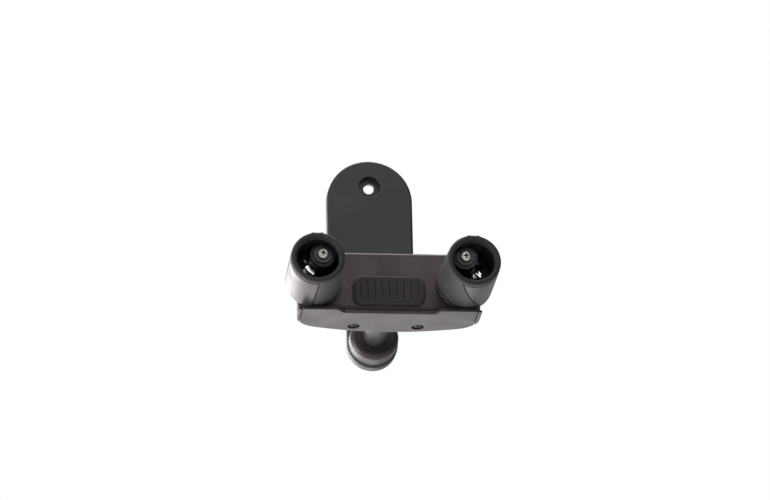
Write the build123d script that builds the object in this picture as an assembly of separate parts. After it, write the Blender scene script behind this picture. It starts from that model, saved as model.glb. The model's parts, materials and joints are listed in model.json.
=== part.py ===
"""Wall guitar hanger with a self-closing yoke.

A plate on the wall carries a short arm. The yoke turns on the arm's end and holds two hollow rubber-rimmed
posts. The instrument's weight pushes the yoke down along two fixed racks, and the racks turn each post about
an off-centre pivot, so that the posts swing in against the neck. Two springs lift the yoke again.

Row frame: the wall is the plane Y = 0, the hanger stands out towards -Y, +Z is up, +X is to the right of
someone facing the wall. The origin is the middle of the arm's root on the wall plane.

Yoke frame: origin where the arm's axis crosses the yoke's front face, +Y back along the arm, +Z up. It is
the row frame moved out along the arm and leaned back by TILT. All sizes are in millimetres.
"""

from build123d import *
import math
import os

# ---- driving dimensions ----------------------------------------------------------------------------------
TILT = 5.0                 # the arm and the yoke rise by this angle towards the front
ARM_REACH = 74.0           # wall plane to the yoke's front face, along the arm

PLATE_HALF = 22.0          # wall plate: a broad upper body on a narrow foot
PLATE_HIGH = 98.0
PLATE_NECK_HIGH = 32.0     # where the broad body begins
FOOT_R = 13.0
SHOULDER_OUT = 7.5         # rounding of the shoulders, and of the inner corners under them
SHOULDER_IN = 1.3
PLATE_THICK = 6.0
PLATE_EDGE = 1.25
WALL_HOLE_LOW = 34.0       # heights of the two wall screws
WALL_HOLE_HIGH = 84.0
WALL_HOLE_R = 2.75
WALL_HEAD_R = 5.6
WALL_HEAD_DEPTH = 3.6

ARM_R = 6.0                # arm rod
STEM_R = 5.0               # its turned-down end, on which the yoke swivels
STEM_FRONT = 3.0
ARM_SHOULDER = 16.6        # where the full rod begins
GROOVE_FRONT = 3.8         # groove for the retaining ring
GROOVE_BACK = 4.6
GROOVE_R = 4.3
ARM_ROOT = 67.2            # where the rod ends inside the flange
TIP_CHAMFER = 0.6
FLANGE_R = 12.4
FLANGE_FRONT = 15.0        # front of the flange, along the arm from the wall
FLANGE_EDGE = 3.0
FLANGE_SCREW_X = 9.4
SWIVEL_LIMIT = 30.0
STOP_PIN_R = 1.25          # pin under the stem that stops the swivel
STOP_PIN_Y = 14.4
STOP_PIN_Z = -5.5
STOP_PIN_LENGTH = 4.6
RING_R = 7.4
RING_OPENING = 2.2
STEM_WASHER_R = 7.8

COLLAR_R = 8.0             # swivelling frame: its collar, bush and crossbar
COLLAR_FRONT = 5.0
COLLAR_BACK = 16.0
BUSH_R = 6.2
NOTCH_FRONT = 12.6         # front of the notch in which the stop pin travels
BAR_FRONT = 5.0
BAR_BACK = 10.0
BAR_LOW = -8.4
BAR_HIGH = -2.6
UPRIGHT_IN = 22.6          # the bar's upright ends, which carry the racks
UPRIGHT_OUT = 25.6
RACK_FRONT = 4.8
RACK_BACK = 10.2
NOTCH_REACH = 14.0
NOTCH_SPARE = 0.15

HOUSE_HALF = 45.4          # yoke housing
HOUSE_TOP = 20.5
HOUSE_LOW = -12.9          # its flat underside
HOUSE_BACK = 23.2          # middle of its curved back
HOUSE_BACK_END = 14.8      # where that curve would meet the sides
BACK_CORNER = 13.0
WALL = 2.0
TOP_EDGE = 2.4             # rounding round the housing's top
FRONT_CORNER = 1.2
SEAM_Z = -11.4             # joint between the housing and the plate that closes it below
SEAM_GAP = 0.7
COVER_HALF = 43.4          # the plate lies between the ends of the side walls
COVER_FRONT = -5.0         # its front edge, under the posts
COVER_RECESS = -1.0        # its front edge between the posts
RECESS_OUT = 27.5
RECESS_IN = 21.6
FACE_BEVEL_HIGH = 2.0      # bevel along the face's lower edge
FACE_BEVEL_DEEP = 0.9
COVER_EDGE = 0.4

POST_Z = 3.5               # height of the posts' axes
POST_X_BACK = 37.6
POST_X_FRONT = 38.5
POST_BACK = -1.0           # back end and mouth of each post
POST_FRONT = -32.0
POST_R_BACK = 14.0
POST_R_FRONT = 13.3
MOUTH_R = 10.5
LINER_R = 11.5
RIM_LENGTH = 3.3
RIM_LIP = 1.2
RIB_TURN = 10.0            # two small ribs on top of each rim, this far round to each side
RIB_HALF = 0.7
RIB_INSET = 1.3
RIB_PROUD = 0.35
POST_FLARE = 1.4           # over 1: a post swells mostly towards its back end
LEAF_END = 0.1             # gap between a rim and the leaf behind it
BACK_RING = 1.7
LEAF_GAP = 0.35
FLOOR_FRONT = -12.6        # floor of the cup
FLOOR_BACK = -10.0

PIVOT_X = 35.2             # axis on which each post turns
PIVOT_Z = 8.0
CORE_R = 3.5
CORE_FOOT_FRONT = 13.5
SLEEVE_R = 6.5
SLEEVE_EDGE = 0.7
JOURNAL_R = 5.6
SPIGOT_R = 4.4
SPIGOT_BACK = 13.0
BOSS_FRONT = -24.0
WASHER_R = 4.7
WASHER_THICK = 0.8
RUNNING = 0.05             # radial clearance of a running fit
PLAY = 0.1                 # clearance along an axis

SHANK_R = 1.5              # all small screws
PIVOT_HEAD_R = 2.85
PIVOT_HEAD = 2.0
SMALL_HEAD_R = 2.7
SMALL_HEAD = 1.6
FLANGE_SCREW_LENGTH = 9.5
PLATE_POCKET = 1.9         # depth of the pockets in the plate's back for the flange's screws
POCKET_R = 3.1

GEAR_MODULE = 0.8
GEAR_TEETH = 16
PRESSURE_ANGLE = 20.0
ADDENDUM = 0.64
DEDENDUM = 1.0
BACKLASH = 0.14
GEAR_FRONT = 3.4
GEAR_BACK = 9.2
RACK_SPARE = 2.8           # how far a rack runs on past the pinion's travel
GATE_TURN = 45.0

STOP_R = 1.3               # steel stop pin in each cup, on a circle round the pivot
STOP_ORBIT = 8.4
STOP_ANGLE = 224.0
STOP_SPARE = 0.35          # room round it in its curved slot
STOP_FRONT = -18.0         # front and back of the head that each pin carries
STOP_HEAD_BACK = -13.0
LEFT_HEAD = (6.8, 9.4, 20.5)        # inner and outer radius from the pivot, and half its width in degrees
RIGHT_HEAD = (7.9, 11.6, 3.0)
HEAD_EDGE = 0.35

GUIDE_X = 12.5             # guide pins and their springs
GUIDE_Y = 7.5
GUIDE_R = 1.6
GUIDE_BOSS_R = 3.2
SEAT_R = 3.4
BLOCK_HALF = 3.0           # blocks on the face that hold the pins' lower ends
BLOCK_BACK = 11.5
BLOCK_LOW = -11.1
BLOCK_HIGH = -8.7
GUIDE_LOW = -10.4
GUIDE_HIGH = 11.8
SEAT_Z = 10.4              # seats of the springs under the top wall
SPRING_R = 2.6
SPRING_WIRE = 0.45
SPRING_TURNS = 7

NECK_PAD_SIZE = (36.0, 15.0, 3.0)
NECK_PAD_CORNER = 5.0
NECK_PAD_EDGE = 1.4
NECK_PAD_Z = -0.9

# Screws that hold the face, from the back: (x, z, seat of the head). Screws that hold the cover, from below:
# (x, y). Each is one of a pair.
FACE_SCREWS = ((40.0, -6.3, 10.4), (18.6, 12.4, 21.2))
COVER_SCREW = (16.0, 16.2)
COVER_SEAT = -11.0
COVER_PAD_TOP = -9.5
LUG_TOP = -4.0             # lugs of the body that the cover's screws go into
LUG_HALF = 3.5
SCREW_LENGTH = 7.5
SCREW_BOSS_R = 2.3
SCREW_WEB = 2.4            # material under a screw's head
COLUMN_R = 4.3             # columns of the body that the heads sit in
COVER_PAD_R = 3.7

# The joint lines of the posts, in degrees round each post from straight down towards the neck:
# (front end of the lower line, back end of the lower line, upper line)
LEFT_SEAM = (2.0, -5.0, 165.0)
RIGHT_SEAM = (28.0, -34.0, 165.0)
SEAM_BEND = 1.2            # over 1: the lower line starts along the post and turns outward further back

# ---- values worked out from them -------------------------------------------------------------------------
PITCH_R = GEAR_MODULE * GEAR_TEETH / 2
TRAVEL = PITCH_R * math.radians(GATE_TURN)
RACK_X = PIVOT_X - PITCH_R
SPLAY = math.degrees(math.atan2(POST_X_FRONT - POST_X_BACK, POST_BACK - POST_FRONT))
POST_LENGTH = POST_BACK - POST_FRONT
YOKE = Rot(-TILT, 0, 0) * Pos(0, -ARM_REACH, 0)


# ---- small helpers ---------------------------------------------------------------------------------------
def along_y(sketch, y_from, y_to):
    """A sketch drawn in (x, z), extruded from y_from to y_to."""
    plane = Plane(origin=(0, y_to, 0), x_dir=(1, 0, 0), z_dir=(0, -1, 0))
    return extrude(plane * sketch, y_to - y_from, dir=(0, -1, 0))


def rod(x, z, radius, y_from, y_to):
    return along_y(Pos(x, z) * Circle(radius), y_from, y_to)


def block(x_span, y_span, z_span):
    size = [span[1] - span[0] for span in (x_span, y_span, z_span)]
    middle = [(span[0] + span[1]) / 2 for span in (x_span, y_span, z_span)]
    return Pos(*middle) * Box(*size)


def to_right(shape):
    return mirror(shape, about=Plane.YZ)


def both_sides(shape):
    return [shape, to_right(shape)]


def pan_screw(head_r, head_height, shank_r, length):
    """A cross-recessed pan-head screw whose head sits on the plane y = 0 and points to -Y."""
    edge = head_height * 0.45
    with BuildSketch(Plane.XY) as half:
        with BuildLine():
            Polyline((0, length), (shank_r, length), (shank_r, 0), (head_r, 0), (head_r, -edge))
            ThreePointArc((head_r, -edge), (head_r * 0.72, -head_height * 0.9), (0, -head_height))
            Line((0, -head_height), (0, length))
        make_face()
    screw = revolve(half.sketch, Axis.Y)
    recess_r = head_r * 0.56
    depth = head_height * 0.7
    for turn in (0, 90):
        slot = Rot(0, turn, 0) * Pos(0, -head_height, 0) * Box(2 * recess_r, 2 * depth, head_r * 0.2)
        screw -= slot
    return screw


# ---- wall plate and arm ----------------------------------------------------------------------------------
def wall_plate():
    """An upright plate: a broad body with a half-round top, on a narrow half-round foot under the arm."""
    with BuildSketch() as sketch:
        with Locations((0, (PLATE_HIGH + PLATE_NECK_HIGH) / 2)):
            Rectangle(2 * PLATE_HALF, PLATE_HIGH - PLATE_NECK_HIGH)
        top = sketch.vertices().filter_by(lambda v: v.Y > PLATE_HIGH - 1)
        fillet(top, PLATE_HALF - 0.1)
        with Locations((0, PLATE_NECK_HIGH / 2)):
            Rectangle(2 * FOOT_R, PLATE_NECK_HIGH)
        shoulders = sketch.vertices().filter_by(lambda v: abs(v.Y - PLATE_NECK_HIGH) < 0.1)
        outer = shoulders.filter_by(lambda v: abs(v.X) > PLATE_HALF - 1)
        fillet(outer, SHOULDER_OUT)
        inner = sketch.vertices().filter_by(lambda v: abs(abs(v.X) - FOOT_R) < 0.1)
        inner = inner.filter_by(lambda v: v.Y > PLATE_NECK_HIGH - 1)
        fillet(inner, SHOULDER_IN)
        Circle(FOOT_R)
    plate = along_y(sketch.sketch, -PLATE_THICK, 0)
    front_edge = plate.faces().sort_by(Axis.Y)[0].outer_wire().edges()
    plate = fillet(front_edge, PLATE_EDGE)
    for z in (WALL_HOLE_LOW, WALL_HOLE_HIGH):
        plate -= rod(0, z, WALL_HOLE_R, -PLATE_THICK - 1, 1)
        plate -= rod(0, z, WALL_HEAD_R, -PLATE_THICK - 1, WALL_HEAD_DEPTH - PLATE_THICK)
    for x in (-FLANGE_SCREW_X, FLANGE_SCREW_X):
        plate -= rod(x, 0, POCKET_R, -PLATE_POCKET, 1)
        plate -= rod(x, 0, SHANK_R, -PLATE_THICK - 1, 0)
    return plate


def arm_flange():
    """The socket on the plate that holds the arm, leaning with it."""
    flange = Rot(-TILT, 0, 0) * rod(0, 0, FLANGE_R, -FLANGE_FRONT, 0)
    front_edge = flange.edges().filter_by(GeomType.CIRCLE).sort_by(Axis.Y)[0]
    flange = fillet(front_edge, FLANGE_EDGE)
    flange -= Rot(-TILT, 0, 0) * rod(0, 0, ARM_R, -FLANGE_FRONT - 1, 20)
    flange -= block((-40, 40), (-PLATE_THICK, 20), (-40, 40))
    for x in (-FLANGE_SCREW_X, FLANGE_SCREW_X):
        flange -= rod(x, 0, SHANK_R, -FLANGE_SCREW_LENGTH - PLATE_POCKET, 0)
    return flange


def arm_stem():
    """The round steel arm, its turned end and the groove for the retaining ring."""
    arm = rod(0, 0, ARM_R, ARM_SHOULDER, ARM_ROOT)
    arm += rod(0, 0, STEM_R, STEM_FRONT, ARM_SHOULDER)
    arm -= rod(0, 0, STEM_R + 1, GROOVE_FRONT, GROOVE_BACK) - rod(0, 0, GROOVE_R, GROOVE_FRONT, GROOVE_BACK)
    arm -= swivel_stop_pin()
    front_edges = arm.edges().filter_by(GeomType.CIRCLE).sort_by(Axis.Y)
    arm = chamfer(front_edges[0], TIP_CHAMFER)
    return arm


def stem_ring():
    """An open spring ring in the stem's groove."""
    front, back = GROOVE_FRONT + RUNNING, GROOVE_BACK - RUNNING
    ring = rod(0, 0, RING_R, front, back) - rod(0, 0, GROOVE_R, front - 1, back + 1)
    return ring - block((-RING_OPENING, RING_OPENING), (front - 1, back + 1), (-10, 0))


def stem_washer():
    front, back = COLLAR_BACK + RUNNING, ARM_SHOULDER - RUNNING
    return rod(0, 0, STEM_WASHER_R, front, back) - rod(0, 0, STEM_R, front - 1, back + 1)


def swivel_stop_pin():
    return Pos(0, STOP_PIN_Y, STOP_PIN_Z) * Cylinder(STOP_PIN_R, STOP_PIN_LENGTH)


def flange_screws():
    screws = []
    for x in (-FLANGE_SCREW_X, FLANGE_SCREW_X):
        head = Pos(x, -PLATE_POCKET, 0) * Rot(180, 0, 0)
        screws.append(head * pan_screw(SMALL_HEAD_R, SMALL_HEAD, SHANK_R, FLANGE_SCREW_LENGTH))
    return screws


# ---- swivelling frame inside the yoke --------------------------------------------------------------------
def lift_frame():
    """A collar on the arm's end with a crossbar that carries the two racks."""
    frame = rod(0, 0, COLLAR_R, COLLAR_FRONT, COLLAR_BACK)
    frame += block((-UPRIGHT_OUT, UPRIGHT_OUT), (BAR_FRONT, BAR_BACK), (BAR_LOW, BAR_HIGH))
    rack_high = rack_span()[1]
    for side in (-1, 1):
        upright = sorted((side * UPRIGHT_IN, side * UPRIGHT_OUT))
        frame += block(upright, (BAR_FRONT, BAR_BACK), (BAR_LOW, rack_high))
        middle = Pos(side * GUIDE_X, GUIDE_Y, (BAR_LOW + BAR_HIGH) / 2)
        frame += middle * Cylinder(GUIDE_BOSS_R, BAR_HIGH - BAR_LOW)
        frame -= middle * Cylinder(GUIDE_R + RUNNING, 30)
    frame -= rod(0, 0, BUSH_R, COLLAR_FRONT - 1, COLLAR_BACK + 1)
    return frame - swivel_notch()


def swivel_notch():
    """The sector of the collar's back end in which the stop pin travels."""
    half_turn = math.radians(SWIVEL_LIMIT) + math.asin((STOP_PIN_R + NOTCH_SPARE) / BUSH_R)
    tip = (NOTCH_REACH * math.sin(half_turn), -NOTCH_REACH * math.cos(half_turn))
    sector = Polygon((0, 0), (-tip[0], tip[1]), (tip[0], tip[1]), align=None)
    return along_y(sector, NOTCH_FRONT, COLLAR_BACK + 0.2)


def stem_bush():
    bush = rod(0, 0, BUSH_R, COLLAR_FRONT, NOTCH_FRONT - PLAY)
    return bush - rod(0, 0, STEM_R + RUNNING, COLLAR_FRONT - 1, COLLAR_BACK)


def rack_span():
    return PIVOT_Z - TRAVEL - RACK_SPARE, PIVOT_Z + RACK_SPARE


def left_rack():
    """A short rack on the inner side of the left pinion; a gap lies level with the pivot at rest."""
    low, high = rack_span()
    pitch = math.pi * GEAR_MODULE
    slope = math.tan(math.radians(PRESSURE_ANGLE))
    half = pitch / 4 - BACKLASH / 2
    root = -RACK_X + DEDENDUM
    tip = -RACK_X - ADDENDUM
    wide = half + DEDENDUM * slope
    slim = half - ADDENDUM * slope
    rack = block((root, -UPRIGHT_OUT), (RACK_FRONT, RACK_BACK), (low, high))
    count = math.ceil((high - low) / pitch) + 1
    for step in range(-count, count + 1):
        z = PIVOT_Z + (step + 0.5) * pitch
        if z - wide < low or z + wide > high:
            continue
        base = root + PLAY
        tooth = Polygon((base, z - wide), (tip, z - slim), (tip, z + slim), (base, z + wide), align=None)
        rack += along_y(tooth, RACK_FRONT, RACK_BACK)
    return rack


# ---- yoke housing ----------------------------------------------------------------------------------------
def house_plan(front, inset=0.0):
    """The housing seen from below: straight sides and a broad curved back with round corners."""
    half = HOUSE_HALF - inset
    end = HOUSE_BACK_END - inset
    with BuildSketch() as sketch:
        with BuildLine():
            ThreePointArc((half, end), (0, HOUSE_BACK - inset), (-half, end))
            Polyline((-half, end), (-half, front), (half, front), (half, end))
        make_face()
        fillet(sketch.vertices().filter_by(lambda v: v.Y > end - 1), BACK_CORNER - inset)
        fillet(sketch.vertices().filter_by(lambda v: v.Y < front + 0.1), FRONT_CORNER)
    return sketch.sketch


def house_solid(front, inset=0.0):
    """The solid that the housing is cut from, with a rounded top edge."""
    solid = Pos(0, 0, HOUSE_LOW) * extrude(house_plan(front, inset), HOUSE_TOP - inset - HOUSE_LOW)
    top = solid.faces().sort_by(Axis.Z)[-1]
    return fillet(top.edges(), TOP_EDGE - inset * 0.6)


def yoke_body():
    """Back, top and side walls, with the upright slot that the arm passes through."""
    outer = house_solid(0) - block((-60, 60), (-1, WALL + 0.05), (-40, 40))
    body = outer - house_solid(-5, WALL)
    opening = COVER_HALF + LEAF_GAP
    body -= block((-opening, opening), (-1, HOUSE_BACK + 1), (HOUSE_LOW - 1, SEAM_Z + SEAM_GAP))
    slot = Pos(0, TRAVEL / 2) * SlotCenterToCenter(TRAVEL, 2 * ARM_R + 1.2, rotation=90)
    body -= along_y(slot, HOUSE_BACK - 2 * WALL, HOUSE_BACK + 1)
    for side in (-1, 1):
        runner = sorted((side * opening, side * HOUSE_HALF))
        body += block(runner, (COVER_FRONT + 0.6, WALL + 1), (HOUSE_LOW, SEAM_Z - LEAF_GAP))
        seat = Pos(side * GUIDE_X, GUIDE_Y, (SEAT_Z + HOUSE_TOP) / 2)
        body += seat * Cylinder(SEAT_R, HOUSE_TOP - SEAT_Z) & outer
        body -= Pos(side * GUIDE_X, GUIDE_Y, SEAT_Z) * Cylinder(GUIDE_R, 2 * (GUIDE_HIGH - SEAT_Z) + PLAY)
        lug_x = side * COVER_SCREW[0]
        lug_y = COVER_SCREW[1]
        lug_span = (lug_x - LUG_HALF, lug_x + LUG_HALF)
        body += block(lug_span, (lug_y - LUG_HALF, HOUSE_BACK), (COVER_PAD_TOP, LUG_TOP)) & outer
        body -= Pos(lug_x, lug_y, COVER_PAD_TOP) * Cylinder(SHANK_R, 2 * (LUG_TOP - COVER_PAD_TOP) + PLAY)
        for x, z, seat_y in FACE_SCREWS:
            body += rod(side * x, z, COLUMN_R, seat_y - SCREW_WEB, HOUSE_BACK) & outer
            body -= rod(side * x, z, POCKET_R, seat_y, HOUSE_BACK + 1)
            body -= rod(side * x, z, SHANK_R, seat_y - SCREW_WEB - 1, HOUSE_BACK + 1)
    return body


def yoke_face():
    """The front plate above the seam, with bosses for its screws and blocks for the guide pins."""
    low = SEAM_Z + SEAM_GAP
    face = house_solid(0) & block((-60, 60), (-1, WALL), (low, 40))
    lower_edge = face.faces().sort_by(Axis.Z)[0].edges().sort_by(Axis.Y)[0]
    front = face.faces().sort_by(Axis.Y)[0]
    face = chamfer(lower_edge, FACE_BEVEL_HIGH, FACE_BEVEL_DEEP, reference=front)
    stop_x, stop_z = stop_place()
    for side in (-1, 1):
        for x, z, seat_y in FACE_SCREWS:
            face += rod(side * x, z, SCREW_BOSS_R, WALL - PLAY, seat_y - SCREW_WEB)
            face -= rod(side * x, z, SHANK_R, seat_y - SCREW_LENGTH - PLAY, seat_y)
        span = (side * GUIDE_X - BLOCK_HALF, side * GUIDE_X + BLOCK_HALF)
        face += block(span, (WALL - PLAY, BLOCK_BACK), (BLOCK_LOW, BLOCK_HIGH))
        pin_hole = Pos(side * GUIDE_X, GUIDE_Y, BLOCK_HIGH) * Cylinder(GUIDE_R, 2 * (BLOCK_HIGH - GUIDE_LOW))
        face -= pin_hole
        face -= rod(side * PIVOT_X, PIVOT_Z, JOURNAL_R + RUNNING, -1, WALL + 1)
        face -= rod(-side * stop_x, stop_z, STOP_R, -1, WALL + 1)
    return face


def cover_plan():
    """The cover seen from below; its front edge steps back between the posts."""
    out, back = COVER_FRONT, COVER_RECESS
    with BuildSketch() as sketch:
        with BuildLine():
            Polyline((-RECESS_OUT, out), (-COVER_HALF, out), (-COVER_HALF, 60), (COVER_HALF, 60))
            Polyline((COVER_HALF, 60), (COVER_HALF, out), (RECESS_OUT, out))
            Bezier((RECESS_OUT, out), (RECESS_OUT - 3, out), (RECESS_IN + 3, back), (RECESS_IN, back))
            Line((RECESS_IN, back), (-RECESS_IN, back))
            Bezier((-RECESS_IN, back), (-RECESS_IN - 3, back), (-RECESS_OUT + 3, out), (-RECESS_OUT, out))
        make_face()
    return sketch.sketch & house_plan(COVER_FRONT - 2 * FRONT_CORNER)


def yoke_cover():
    """The flat plate that closes the housing below, with a pad for each of its two screws."""
    cover = Pos(0, 0, HOUSE_LOW) * extrude(cover_plan(), SEAM_Z - HOUSE_LOW)
    under = cover.faces().sort_by(Axis.Z)[0].edges()
    cover = fillet(under, COVER_EDGE)
    for side in (-1, 1):
        place = Pos(side * COVER_SCREW[0], COVER_SCREW[1])
        pad_height = COVER_PAD_TOP - SEAM_Z
        cover += place * Pos(0, 0, SEAM_Z + pad_height / 2 - PLAY) * Cylinder(COVER_PAD_R, pad_height)
        cover -= place * Pos(0, 0, HOUSE_LOW) * Cylinder(POCKET_R, 2 * (COVER_SEAT - HOUSE_LOW))
        cover -= place * Pos(0, 0, HOUSE_LOW) * Cylinder(SHANK_R, 10)
    return cover


def neck_pad():
    """The soft pad on the face that the back of the neck leans on."""
    width, height, thick = NECK_PAD_SIZE
    pad = along_y(Pos(0, NECK_PAD_Z) * RectangleRounded(width, height, NECK_PAD_CORNER), -thick, 0)
    front_edges = pad.faces().sort_by(Axis.Y)[0].edges()
    return fillet(front_edges, NECK_PAD_EDGE)


def housing_screws():
    """Four from behind that hold the face and two from below that hold the cover."""
    screw = pan_screw(SMALL_HEAD_R, SMALL_HEAD, SHANK_R, SCREW_LENGTH)
    screws = []
    for side in (-1, 1):
        for x, z, seat_y in FACE_SCREWS:
            screws.append(Pos(side * x, seat_y, z) * Rot(180, 0, 0) * screw)
        screws.append(Pos(side * COVER_SCREW[0], COVER_SCREW[1], COVER_SEAT) * Rot(90, 0, 0) * screw)
    return screws


def guide_pins():
    pins = []
    for side in (-1, 1):
        middle = Pos(side * GUIDE_X, GUIDE_Y, (GUIDE_LOW + GUIDE_HIGH) / 2)
        pins.append(middle * Cylinder(GUIDE_R, GUIDE_HIGH - GUIDE_LOW))
    return pins


def left_spring():
    """Return spring round the left guide pin, from the crossbar up to its seat under the top wall."""
    low = BAR_HIGH + SPRING_WIRE + RUNNING
    high = SEAT_Z - SPRING_WIRE - RUNNING
    path = Helix(pitch=(high - low) / SPRING_TURNS, height=high - low, radius=SPRING_R)
    section = Plane(origin=path @ 0, z_dir=path % 0) * Circle(SPRING_WIRE)
    return Pos(-GUIDE_X, GUIDE_Y, low) * sweep(section, path=path, is_frenet=True)


# ---- pivots ----------------------------------------------------------------------------------------------
def left_core_post():
    """The fixed post that the left gate turns on, with its foot against the back wall."""
    within = house_solid(-5, WALL)
    post = rod(-PIVOT_X, PIVOT_Z, CORE_R, CORE_FOOT_FRONT - 1, HOUSE_BACK)
    post += rod(-PIVOT_X, PIVOT_Z, SLEEVE_R, CORE_FOOT_FRONT, HOUSE_BACK)
    post &= within
    post += rod(-PIVOT_X, PIVOT_Z, CORE_R, BOSS_FRONT - PLAY, CORE_FOOT_FRONT)
    post -= rod(-PIVOT_X, PIVOT_Z, SHANK_R, BOSS_FRONT - 1, BOSS_FRONT + 14)
    return post


def pivot_washers():
    washer = rod(-PIVOT_X, PIVOT_Z, WASHER_R, BOSS_FRONT - PLAY - WASHER_THICK, BOSS_FRONT - PLAY)
    washer -= rod(-PIVOT_X, PIVOT_Z, SHANK_R, BOSS_FRONT - 2, BOSS_FRONT)
    return both_sides(washer)


def pivot_screws():
    place = Pos(-PIVOT_X, BOSS_FRONT - PLAY - WASHER_THICK, PIVOT_Z) * Rot(0, 12, 0)
    return both_sides(place * pan_screw(PIVOT_HEAD_R, PIVOT_HEAD, SHANK_R, 12))


def stop_place():
    """Where the left stop pin stands, as (x, z)."""
    angle = math.radians(STOP_ANGLE)
    return -PIVOT_X + STOP_ORBIT * math.cos(angle), PIVOT_Z + STOP_ORBIT * math.sin(angle)


def stop_pin(head):
    """The left cup's stop: a pin through the floor's slot that carries a head of the given span."""
    inner_r, outer_r, half_width = head
    x, z = stop_place()
    ring = rod(-PIVOT_X, PIVOT_Z, outer_r, STOP_FRONT, STOP_HEAD_BACK)
    ring -= rod(-PIVOT_X, PIVOT_Z, inner_r, STOP_FRONT - 1, STOP_HEAD_BACK + 1)
    reach = 2 * outer_r
    corners = [(-PIVOT_X, PIVOT_Z)]
    for angle in (STOP_ANGLE - half_width, STOP_ANGLE + half_width):
        turn = math.radians(angle)
        corners.append((-PIVOT_X + reach * math.cos(turn), PIVOT_Z + reach * math.sin(turn)))
    pin = ring & along_y(Polygon(*corners, align=None), STOP_FRONT, STOP_HEAD_BACK)
    pin = fillet(pin.faces().sort_by(Axis.Y)[0].edges(), HEAD_EDGE)
    return pin + rod(x, z, STOP_R, STOP_HEAD_BACK - 1, WALL)


def stop_pins():
    return [stop_pin(LEFT_HEAD), to_right(stop_pin(RIGHT_HEAD))]


# ---- gates -----------------------------------------------------------------------------------------------
def place_post(shape):
    """Puts a shape drawn round the Y axis, back end at y = 0, onto the left post's leaning axis."""
    return Pos(-POST_X_BACK, POST_BACK, POST_Z) * Rot(0, 0, -SPLAY) * shape


def post_profile(y):
    """Outer radius of a post at y, 0 at its back end and -POST_LENGTH at its mouth."""
    share = -y / POST_LENGTH
    return POST_R_BACK + (POST_R_FRONT - POST_R_BACK) * share ** POST_FLARE


def post_ring(y_from, y_to, inner_r):
    """A ring of the post's wall from y_from back to y_to."""
    steps = 5
    outer = []
    for step in range(steps + 1):
        y = y_from + (y_to - y_from) * step / steps
        outer.append((post_profile(y), y))
    with BuildSketch(Plane.XY) as half:
        with BuildLine():
            Spline(*outer)
            Polyline(outer[-1], (inner_r, y_to), (inner_r, y_from), outer[0])
        make_face()
    return revolve(half.sketch, Axis.Y)


def pad_sector(seam, widen):
    """The wedge of space that holds a post's pad. Angles run from straight down towards the neck (+X)."""
    front, back, upper = seam
    faces = []
    sections = 6
    for section in range(sections + 1):
        share = section / sections
        lower = front + (back - front) * share ** SEAM_BEND - widen
        reach = 24.0
        points = [(0.0, 0.0)]
        steps = 6
        for step in range(steps + 1):
            angle = math.radians(lower + (upper + widen - lower) * step / steps)
            points.append((reach * math.sin(angle), -reach * math.cos(angle)))
        y = -POST_LENGTH * (1 - share)
        plane = Plane(origin=(0, y, 0), x_dir=(1, 0, 0), z_dir=(0, -1, 0))
        faces.append(plane * Polygon(*points, align=None))
    return loft(faces, ruled=True)


LEAF_FRONT = -POST_LENGTH + RIM_LENGTH + LEAF_END
SEAM_HALF_DEG = math.degrees(LEAF_GAP / 2 / POST_R_FRONT)


def gate_shell(seam):
    """The hard outer shell: a ring at the back and the leaf on the side away from the neck."""
    leaf = post_ring(LEAF_FRONT, -BACK_RING, LINER_R) - pad_sector(seam, SEAM_HALF_DEG)
    shell = leaf + post_ring(-BACK_RING, 0, LINER_R)
    return place_post(shell)


def gate_pad(seam):
    """The soft leaf on the side of the neck."""
    pad = post_ring(LEAF_FRONT, -BACK_RING - LEAF_GAP, LINER_R) & pad_sector(seam, -SEAM_HALF_DEG)
    return place_post(pad)


def gate_rim():
    """The rubber ring round the mouth, with two small ribs on top."""
    front = -POST_LENGTH
    back = front + RIM_LENGTH
    rim = Pos(0, (front + back) / 2, 0) * Rot(90, 0, 0) * Cylinder(POST_R_FRONT, RIM_LENGTH)
    rim -= Pos(0, (front + back) / 2, 0) * Rot(90, 0, 0) * Cylinder(MOUTH_R, RIM_LENGTH + 1)
    front_edges = rim.edges().filter_by(GeomType.CIRCLE).sort_by(Axis.Y)[:2]
    rim = fillet(front_edges, RIM_LIP)
    for turn in (-RIB_TURN, RIB_TURN):
        rib_span = (POST_R_FRONT - 2 * RIB_PROUD, POST_R_FRONT + RIB_PROUD)
        rib = block((-RIB_HALF, RIB_HALF), (front + RIB_INSET, back), rib_span)
        rim += Rot(0, turn, 0) * rib
    return place_post(rim)


def gate_hub():
    """Liner, floor and sleeve of the left gate in one moulding; the stop pin runs in the floor's slot."""
    front = -POST_LENGTH + RIM_LENGTH
    liner = Pos(0, front / 2, 0) * Rot(90, 0, 0) * Cylinder(LINER_R, -front)
    liner -= Pos(0, front / 2, 0) * Rot(90, 0, 0) * Cylinder(MOUTH_R, -front + 1)
    floor_y = (FLOOR_FRONT + FLOOR_BACK) / 2 - POST_BACK
    floor = Pos(0, floor_y, 0) * Rot(90, 0, 0) * Cylinder(LINER_R - 0.2, FLOOR_BACK - FLOOR_FRONT)
    hub = place_post(liner + floor)
    hub -= floor_slot()
    within = place_post(Pos(0, -POST_LENGTH / 2, 0) * Rot(90, 0, 0) * Cylinder(LINER_R, POST_LENGTH))
    boss = rod(-PIVOT_X, PIVOT_Z, SLEEVE_R, BOSS_FRONT, 0)
    boss = fillet(boss.edges().filter_by(GeomType.CIRCLE).sort_by(Axis.Y)[0], SLEEVE_EDGE)
    hub += boss & within
    hub += rod(-PIVOT_X, PIVOT_Z, JOURNAL_R, POST_BACK - 1, WALL + 0.8)
    hub += rod(-PIVOT_X, PIVOT_Z, SPIGOT_R, WALL + 0.7, SPIGOT_BACK)
    hub -= rod(-PIVOT_X, PIVOT_Z, CORE_R + RUNNING, BOSS_FRONT - 1, SPIGOT_BACK + 1)
    return hub


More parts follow.
